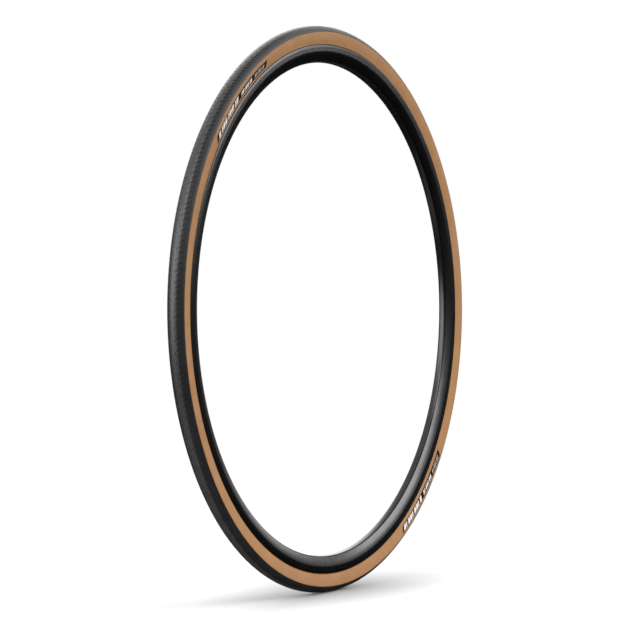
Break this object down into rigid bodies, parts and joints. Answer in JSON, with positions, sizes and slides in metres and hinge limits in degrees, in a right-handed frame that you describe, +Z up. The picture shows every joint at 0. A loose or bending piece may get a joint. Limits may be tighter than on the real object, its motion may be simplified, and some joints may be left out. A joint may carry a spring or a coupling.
{
  "type": "bicycle tire",
  "caption": "Narrow road bicycle tire with tan sidewalls and a black tread, seated on a plain hollow black rim hoop, to roll on the ground and carry a wheel.",
  "frame": {"origin": "centre of the wheel, on its axis and in the tire's middle plane", "axes": "+Y along the wheel's axis towards the left side of a bicycle that rolls towards +X, +Z up"},
  "size_m": [0.678, 0.0234, 0.678],
  "materials": {
    "tread_rubber": "black rubber, slightly glossy crown and matte shoulders",
    "belt_fibre": "woven yellow fibre strip",
    "casing_cloth": "rubberised brown cloth",
    "tan_rubber": "matte tan rubber over a fine thread weave",
    "bead_steel": "plain steel wire",
    "chafer_cloth": "black rubberised cloth",
    "label_print": "black print with plain white and grey bars",
    "rim_anodised": "satin black anodised",
    "sleeve_alloy": "bare alloy"
  },
  "bodies": {
    "root": {"tread": "tread_rubber", "puncture_belt": "belt_fibre", "casing_ply": "casing_cloth", "sidewall_left": "tan_rubber", "sidewall_right": "tan_rubber", "bead_core_left": "bead_steel", "bead_core_right": "bead_steel", "chafer_left": "chafer_cloth", "chafer_right": "chafer_cloth", "label_left_upper": "label_print", "label_left_lower": "label_print", "label_right_upper": "label_print", "label_right_lower": "label_print", "rim_hoop": "rim_anodised", "rim_joint_sleeve": "sleeve_alloy"}
  },
  "joints": []
}
